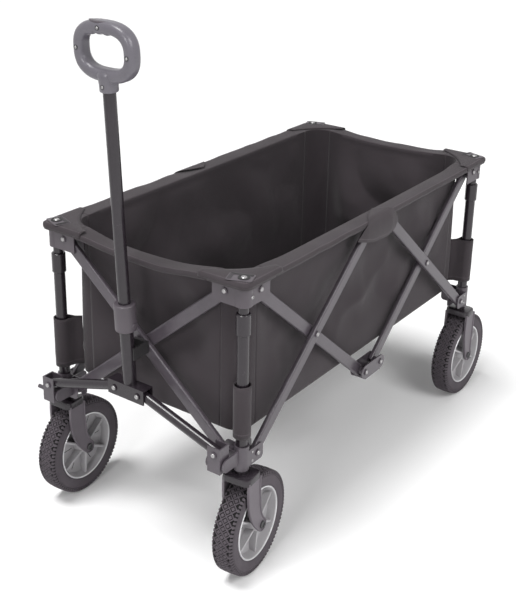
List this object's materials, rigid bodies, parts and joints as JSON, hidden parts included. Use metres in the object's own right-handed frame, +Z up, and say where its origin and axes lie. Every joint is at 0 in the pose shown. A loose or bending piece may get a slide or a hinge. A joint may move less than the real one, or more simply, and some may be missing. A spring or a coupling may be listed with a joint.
{
  "type": "folding wagon",
  "caption": "Collapsible utility wagon with a fabric tub on scissor-linked posts, swivelling front casters and a telescoping pull handle.",
  "frame": {"origin": "on the ground, midway between the four corner posts", "axes": "+Z up, -Y towards the handle end, +X across the wagon"},
  "size_m": [0.5098, 1.0884, 1.0193],
  "materials": {
    "frame_steel": "satin dark grey powder coat",
    "black_plastic": "moulded",
    "rim_plastic": "moulded grey",
    "tyre_foam": "matte tread",
    "tub_fabric": "coated polyester weave"
  },
  "bodies": {
    "lower_front_right": {"lower_bracket_front_right": "frame_steel", "post_outer_front_right": "frame_steel"},
    "front_outer_bar": {"end_bar_outer_front": "frame_steel"},
    "upper_front_left": {"upper_bracket_front_left": "black_plastic", "post_inner_front_left": "frame_steel"},
    "front_inner_bar": {"end_bar_inner_front": "frame_steel"},
    "upper_front_right": {"upper_bracket_front_right": "black_plastic", "post_inner_front_right": "frame_steel", "tub_bag": "tub_fabric"},
    "lower_front_left": {"lower_bracket_front_left": "frame_steel", "post_outer_front_left": "frame_steel"},
    "clip": {"handle_clip": "black_plastic"},
    "rising_front_right": {"side_bar_rising_front_right": "frame_steel"},
    "mid_top_right": {"mid_hub_top_right": "black_plastic"},
    "rising_rear_right": {"side_bar_rising_rear_right": "frame_steel"},
    "falling_front_right": {"side_bar_falling_front_right": "frame_steel"},
    "mid_bottom_right": {"mid_hub_bottom_right": "black_plastic"},
    "falling_rear_right": {"side_bar_falling_rear_right": "frame_steel"},
    "lower_rear_right": {"lower_bracket_rear_right": "frame_steel", "post_outer_rear_right": "frame_steel", "fork_rear_right": "black_plastic"},
    "upper_rear_right": {"upper_bracket_rear_right": "black_plastic", "post_inner_rear_right": "frame_steel"},
    "rising_front_left": {"side_bar_rising_front_left": "frame_steel"},
    "mid_top_left": {"mid_hub_top_left": "black_plastic"},
    "rising_rear_left": {"side_bar_rising_rear_left": "frame_steel"},
    "falling_front_left": {"side_bar_falling_front_left": "frame_steel"},
    "mid_bottom_left": {"mid_hub_bottom_left": "black_plastic"},
    "falling_rear_left": {"side_bar_falling_rear_left": "frame_steel"},
    "lower_rear_left": {"lower_bracket_rear_left": "frame_steel", "post_outer_rear_left": "frame_steel", "fork_rear_left": "black_plastic"},
    "upper_rear_left": {"upper_bracket_rear_left": "black_plastic", "post_inner_rear_left": "frame_steel"},
    "rear_outer_bar": {"end_bar_outer_rear": "frame_steel"},
    "rear_inner_bar": {"end_bar_inner_rear": "frame_steel"},
    "yoke_right": {"yoke_bracket_right": "frame_steel"},
    "cross_right": {"crossbar_right": "frame_steel"},
    "handle_lower": {"handle_stem": "frame_steel", "handle_collar": "black_plastic"},
    "cross_left": {"crossbar_left": "frame_steel"},
    "yoke_left": {"yoke_bracket_left": "frame_steel"},
    "handle_upper": {"handle_upper_tube": "frame_steel", "handle_grip": "black_plastic"},
    "button": {"handle_button": "black_plastic"},
    "floor_right": {"tub_floor_right": "tub_fabric"},
    "floor_left": {"tub_floor_left": "tub_fabric"},
    "caster_front_right": {"fork_front_right": "black_plastic"},
    "wheel_front_right": {"rim_front_right": "rim_plastic", "tyre_front_right": "tyre_foam"},
    "wheel_rear_right": {"rim_rear_right": "rim_plastic", "tyre_rear_right": "tyre_foam"},
    "caster_front_left": {"fork_front_left": "black_plastic"},
    "wheel_front_left": {"rim_front_left": "rim_plastic", "tyre_front_left": "tyre_foam"},
    "wheel_rear_left": {"rim_rear_left": "rim_plastic", "tyre_rear_left": "tyre_foam"}
  },
  "joints": [
    {"name": "fold", "type": "hinge", "parent": "lower_front_right", "child": "front_outer_bar", "pos_m": [0.19, -0.44, 0.256], "axis": [0, 1, 0], "range_deg": [0, 37.5], "deforming": ["tub_bag", "tub_floor_right", "tub_floor_left", "handle_clip"]},
    {"name": "upper_front_left_level", "type": "hinge", "parent": "front_outer_bar", "child": "upper_front_left", "pos_m": [-0.19, -0.44, 0.578], "axis": [0, 1, 0], "range_deg": [-37.5, 0]},
    {"name": "front_crossing", "type": "hinge", "parent": "front_outer_bar", "child": "front_inner_bar", "pos_m": [0, -0.44, 0.417], "axis": [0, 1, 0], "range_deg": [-75, 0]},
    {"name": "upper_front_right_level", "type": "hinge", "parent": "front_inner_bar", "child": "upper_front_right", "pos_m": [0.19, -0.44, 0.578], "axis": [0, 1, 0], "range_deg": [0, 37.5]},
    {"name": "lower_front_left_level", "type": "hinge", "parent": "front_inner_bar", "child": "lower_front_left", "pos_m": [-0.19, -0.44, 0.256], "axis": [0, 1, 0], "range_deg": [0, 37.5]},
    {"name": "clip_level", "type": "hinge", "parent": "front_outer_bar", "child": "clip", "pos_m": [0, -0.44, 0.417], "axis": [0, 1, 0], "range_deg": [-37.5, 0]},
    {"name": "rising_front_right_pivot", "type": "hinge", "parent": "lower_front_right", "child": "rising_front_right", "pos_m": [0.22, -0.41, 0.256], "axis": [1, 0, 0], "range_deg": [0, 37.5]},
    {"name": "mid_top_right_level", "type": "hinge", "parent": "rising_front_right", "child": "mid_top_right", "pos_m": [0.22, -0.03, 0.578], "axis": [1, 0, 0], "range_deg": [-37.5, 0]},
    {"name": "rising_rear_right_pivot", "type": "hinge", "parent": "mid_top_right", "child": "rising_rear_right", "pos_m": [0.22, 0.03, 0.578], "axis": [1, 0, 0], "range_deg": [-37.5, 0]},
    {"name": "lower_rear_right_level", "type": "hinge", "parent": "rising_rear_right", "child": "lower_rear_right", "pos_m": [0.22, 0.41, 0.256], "axis": [1, 0, 0], "range_deg": [0, 37.5]},
    {"name": "front_right_crossing", "type": "hinge", "parent": "rising_front_right", "child": "falling_front_right", "pos_m": [0.22, -0.22, 0.417], "axis": [1, 0, 0], "range_deg": [-75, 0]},
    {"name": "mid_bottom_right_level", "type": "hinge", "parent": "falling_front_right", "child": "mid_bottom_right", "pos_m": [0.22, -0.03, 0.256], "axis": [1, 0, 0], "range_deg": [0, 37.5]},
    {"name": "falling_rear_right_pivot", "type": "hinge", "parent": "mid_bottom_right", "child": "falling_rear_right", "pos_m": [0.22, 0.03, 0.256], "axis": [1, 0, 0], "range_deg": [0, 37.5]},
    {"name": "upper_rear_right_level", "type": "hinge", "parent": "falling_rear_right", "child": "upper_rear_right", "pos_m": [0.22, 0.41, 0.578], "axis": [1, 0, 0], "range_deg": [-37.5, 0]},
    {"name": "rising_front_left_pivot", "type": "hinge", "parent": "lower_front_left", "child": "rising_front_left", "pos_m": [-0.22, -0.41, 0.256], "axis": [1, 0, 0], "range_deg": [0, 37.5]},
    {"name": "mid_top_left_level", "type": "hinge", "parent": "rising_front_left", "child": "mid_top_left", "pos_m": [-0.22, -0.03, 0.578], "axis": [1, 0, 0], "range_deg": [-37.5, 0]},
    {"name": "rising_rear_left_pivot", "type": "hinge", "parent": "mid_top_left", "child": "rising_rear_left", "pos_m": [-0.22, 0.03, 0.578], "axis": [1, 0, 0], "range_deg": [-37.5, 0]},
    {"name": "lower_rear_left_level", "type": "hinge", "parent": "rising_rear_left", "child": "lower_rear_left", "pos_m": [-0.22, 0.41, 0.256], "axis": [1, 0, 0], "range_deg": [0, 37.5]},
    {"name": "front_left_crossing", "type": "hinge", "parent": "rising_front_left", "child": "falling_front_left", "pos_m": [-0.22, -0.22, 0.417], "axis": [1, 0, 0], "range_deg": [-75, 0]},
    {"name": "mid_bottom_left_level", "type": "hinge", "parent": "falling_front_left", "child": "mid_bottom_left", "pos_m": [-0.22, -0.03, 0.256], "axis": [1, 0, 0], "range_deg": [0, 37.5]},
    {"name": "falling_rear_left_pivot", "type": "hinge", "parent": "mid_bottom_left", "child": "falling_rear_left", "pos_m": [-0.22, 0.03, 0.256], "axis": [1, 0, 0], "range_deg": [0, 37.5]},
    {"name": "upper_rear_left_level", "type": "hinge", "parent": "falling_rear_left", "child": "upper_rear_left", "pos_m": [-0.22, 0.41, 0.578], "axis": [1, 0, 0], "range_deg": [-37.5, 0]},
    {"name": "rear_outer_pivot", "type": "hinge", "parent": "lower_rear_right", "child": "rear_outer_bar", "pos_m": [0.19, 0.44, 0.256], "axis": [0, 1, 0], "range_deg": [0, 37.5]},
    {"name": "rear_crossing", "type": "hinge", "parent": "rear_outer_bar", "child": "rear_inner_bar", "pos_m": [0, 0.44, 0.417], "axis": [0, 1, 0], "range_deg": [-75, 0]},
    {"name": "handle_tilt", "type": "hinge", "parent": "lower_front_right", "child": "yoke_right", "pos_m": [0.204, -0.486, 0.262], "axis": [1, 0, 0], "range_deg": [0, 95]},
    {"name": "cross_right_pivot", "type": "hinge", "parent": "yoke_right", "child": "cross_right", "pos_m": [0.204, -0.488, 0.284], "axis": [0, 1, 0], "range_deg": [0, 60.52]},
    {"name": "handle_base_level", "type": "hinge", "parent": "cross_right", "child": "handle_lower", "pos_m": [0.028, -0.488, 0.339], "axis": [0, 1, 0], "range_deg": [-60.52, 0]},
    {"name": "cross_left_pivot", "type": "hinge", "parent": "handle_lower", "child": "cross_left", "pos_m": [-0.028, -0.488, 0.339], "axis": [0, 1, 0], "range_deg": [-60.52, 0]},
    {"name": "yoke_left_level", "type": "hinge", "parent": "cross_left", "child": "yoke_left", "pos_m": [-0.204, -0.488, 0.284], "axis": [0, 1, 0], "range_deg": [0, 60.52]},
    {"name": "handle_slide", "type": "slide", "parent": "handle_lower", "child": "handle_upper", "axis": [0, -0.0523, 0.9986], "range_m": [-0.095, 0]},
    {"name": "button_press", "type": "slide", "parent": "handle_lower", "child": "button", "axis": [-1, 0, 0], "range_m": [0, 0.0025], "stiffness_N_per_m": 600},
    {"name": "floor_right_fold", "type": "hinge", "parent": "upper_front_right", "child": "floor_right", "pos_m": [0.202, 0, 0.2895], "axis": [0, 1, 0], "range_deg": [0, 72.51]},
    {"name": "floor_left_fold", "type": "hinge", "parent": "upper_front_left", "child": "floor_left", "pos_m": [-0.202, 0, 0.2895], "axis": [0, 1, 0], "range_deg": [-72.51, 0]},
    {"name": "swivel_front_right", "type": "hinge", "parent": "lower_front_right", "child": "caster_front_right", "pos_m": [0.22, -0.44, 0.2], "axis": [0, 0, 1], "continuous": true},
    {"name": "spin_front_right", "type": "hinge", "parent": "caster_front_right", "child": "wheel_front_right", "pos_m": [0.21665, -0.40818, 0.102], "axis": [0.9945, 0.1045, 0], "continuous": true},
    {"name": "spin_rear_right", "type": "hinge", "parent": "lower_rear_right", "child": "wheel_rear_right", "pos_m": [0.22, 0.45, 0.102], "axis": [1, 0, 0], "continuous": true},
    {"name": "swivel_front_left", "type": "hinge", "parent": "lower_front_left", "child": "caster_front_left", "pos_m": [-0.22, -0.44, 0.2], "axis": [0, 0, -1], "continuous": true},
    {"name": "spin_front_left", "type": "hinge", "parent": "caster_front_left", "child": "wheel_front_left", "pos_m": [-0.2214, -0.40803, 0.102], "axis": [0.999, 0.0436, 0], "continuous": true},
    {"name": "spin_rear_left", "type": "hinge", "parent": "lower_rear_left", "child": "wheel_rear_left", "pos_m": [-0.22, 0.45, 0.102], "axis": [1, 0, 0], "continuous": true}
  ],
  "couplings": [
    {"joint": "upper_front_left_level", "follows": "fold", "ratio": -1},
    {"joint": "front_crossing", "follows": "fold", "ratio": -2},
    {"joint": "upper_front_right_level", "follows": "fold", "ratio": 1},
    {"joint": "lower_front_left_level", "follows": "fold", "ratio": 1},
    {"joint": "clip_level", "follows": "fold", "ratio": -1},
    {"joint": "rising_front_right_pivot", "follows": "fold", "ratio": 1},
    {"joint": "mid_top_right_level", "follows": "fold", "ratio": -1},
    {"joint": "rising_rear_right_pivot", "follows": "fold", "ratio": -1},
    {"joint": "lower_rear_right_level", "follows": "fold", "ratio": 1},
    {"joint": "front_right_crossing", "follows": "fold", "ratio": -2},
    {"joint": "mid_bottom_right_level", "follows": "fold", "ratio": 1},
    {"joint": "falling_rear_right_pivot", "follows": "fold", "ratio": 1},
    {"joint": "upper_rear_right_level", "follows": "fold", "ratio": -1},
    {"joint": "rising_front_left_pivot", "follows": "fold", "ratio": 1},
    {"joint": "mid_top_left_level", "follows": "fold", "ratio": -1},
    {"joint": "rising_rear_left_pivot", "follows": "fold", "ratio": -1},
    {"joint": "lower_rear_left_level", "follows": "fold", "ratio": 1},
    {"joint": "front_left_crossing", "follows": "fold", "ratio": -2},
    {"joint": "mid_bottom_left_level", "follows": "fold", "ratio": 1},
    {"joint": "falling_rear_left_pivot", "follows": "fold", "ratio": 1},
    {"joint": "upper_rear_left_level", "follows": "fold", "ratio": -1},
    {"joint": "rear_outer_pivot", "follows": "fold", "ratio": 1},
    {"joint": "rear_crossing", "follows": "fold", "ratio": -2},
    {"joint": "cross_right_pivot", "follows": "fold", "ratio": 1.6139},
    {"joint": "handle_base_level", "follows": "fold", "ratio": -1.6139},
    {"joint": "cross_left_pivot", "follows": "fold", "ratio": -1.6139},
    {"joint": "yoke_left_level", "follows": "fold", "ratio": 1.6139},
    {"joint": "floor_right_fold", "follows": "fold", "ratio": 1.9335},
    {"joint": "floor_left_fold", "follows": "fold", "ratio": -1.9335}
  ]
}
